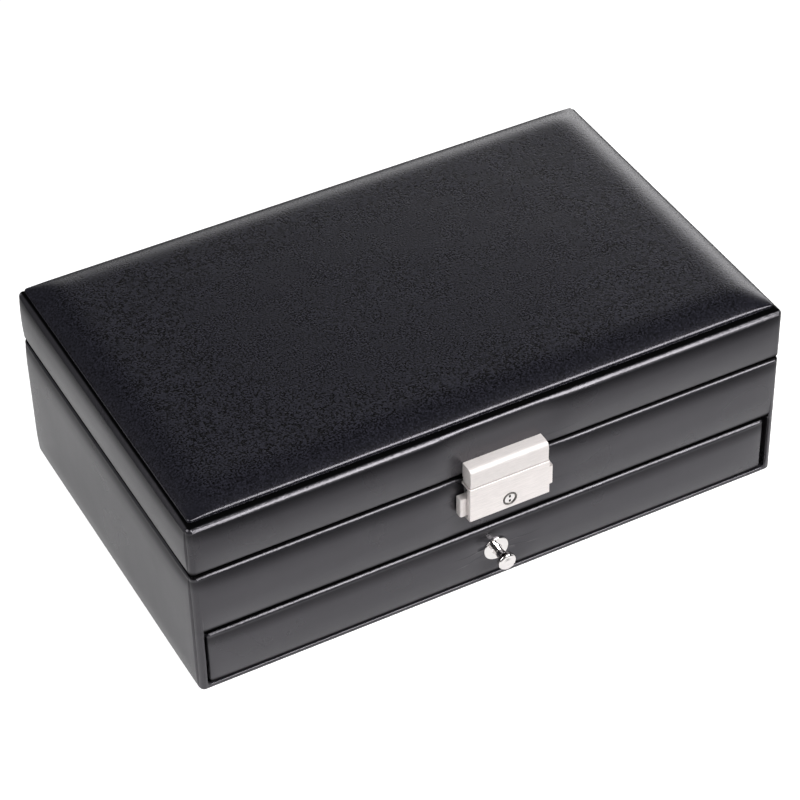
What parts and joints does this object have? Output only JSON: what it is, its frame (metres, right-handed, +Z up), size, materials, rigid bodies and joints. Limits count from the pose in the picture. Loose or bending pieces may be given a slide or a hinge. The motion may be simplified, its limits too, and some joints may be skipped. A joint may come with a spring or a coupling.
{
  "type": "ring box with drawer",
  "caption": "Leather-covered ring box with a padded hinged lid, a side-button lock with a key cylinder, rows of ring rolls and a drawer below.",
  "frame": {"origin": "middle of the case's footprint, on the surface that the box stands on", "axes": "+X to the right along the front, -Y out of the front, +Z up"},
  "size_m": [0.27, 0.1817, 0.0945],
  "materials": {
    "board": "black-faced greyboard",
    "leather": "smooth black leather with a satin sheen",
    "pad_leather": "fine-grained matt black leather over foam",
    "felt": "black felt",
    "velvet": "black short-pile velvet",
    "satin_nickel": "satin nickel plate",
    "polished_nickel": "polished nickel plate",
    "steel": "bright zinc plate",
    "hinge_nickel": "nickel plate"
  },
  "bodies": {
    "case": {"back_wall": "board", "base_board": "board", "case_hinge_rivets": "hinge_nickel", "case_leather": "leather", "cylinder_sleeve": "satin_nickel", "front_fascia": "board", "left_button_spring": "steel", "left_hinge_case_leaf": "hinge_nickel", "left_hinge_pin": "steel", "left_wall": "board", "lock_backplate": "steel", "lock_cover": "satin_nickel", "lock_rivets": "hinge_nickel", "right_button_spring": "steel", "right_hinge_case_leaf": "hinge_nickel", "right_hinge_pin": "steel", "right_wall": "board", "ring_roll_1": "velvet", "ring_roll_2": "velvet", "ring_roll_3": "velvet", "ring_roll_4": "velvet", "ring_roll_5": "velvet", "ring_roll_6": "velvet", "ring_roll_7": "velvet", "ring_roll_8": "velvet", "tray_floor": "board", "tray_lining": "velvet", "underside_felt": "felt"},
    "lid": {"lid_left_rail": "board", "lid_right_rail": "board", "lid_front_rail": "board", "lid_back_rail": "board", "lid_board": "board", "lid_leather": "leather", "lid_lining": "velvet", "lid_pad_card": "board", "lid_pad": "pad_leather", "left_hinge_lid_leaf": "hinge_nickel", "right_hinge_lid_leaf": "hinge_nickel", "lid_hinge_rivets": "hinge_nickel", "hasp_cover": "satin_nickel", "hasp_tongue": "steel", "hasp_rivets": "hinge_nickel"},
    "drawer": {"drawer_front": "board", "drawer_front_leather": "leather", "drawer_left_side": "board", "drawer_right_side": "board", "drawer_back": "board", "drawer_bottom": "board", "drawer_lining": "velvet", "drawer_divider_1": "velvet", "drawer_divider_2": "velvet", "knob": "polished_nickel", "knob_rosette": "polished_nickel", "knob_screw": "steel"},
    "left_button": {"left_button": "satin_nickel"},
    "right_button": {"right_button": "satin_nickel"},
    "key_cylinder": {"key_plug": "polished_nickel", "lock_cam": "steel"}
  },
  "joints": [
    {"name": "lid_hinge", "type": "hinge", "parent": "case", "child": "lid", "pos_m": [0, 0.0855, 0.0627], "axis": [-1, 0, 0], "range_deg": [0, 95]},
    {"name": "drawer_slide", "type": "slide", "parent": "case", "child": "drawer", "axis": [0, -1, 0], "range_m": [0, 0.12]},
    {"name": "left_button_press", "type": "slide", "parent": "case", "child": "left_button", "axis": [1, 0, 0], "range_m": [0, 0.0018], "stiffness_N_per_m": 600, "springref_m": -0.0006, "deforming": ["left_button_spring"]},
    {"name": "right_button_press", "type": "slide", "parent": "case", "child": "right_button", "axis": [-1, 0, 0], "range_m": [0, 0.0018], "stiffness_N_per_m": 600, "springref_m": -0.0006, "deforming": ["right_button_spring"]},
    {"name": "key_turn", "type": "hinge", "parent": "case", "child": "key_cylinder", "pos_m": [0.002, -0.0866, 0.0483], "axis": [0, -1, 0], "range_deg": [0, 90]}
  ]
}
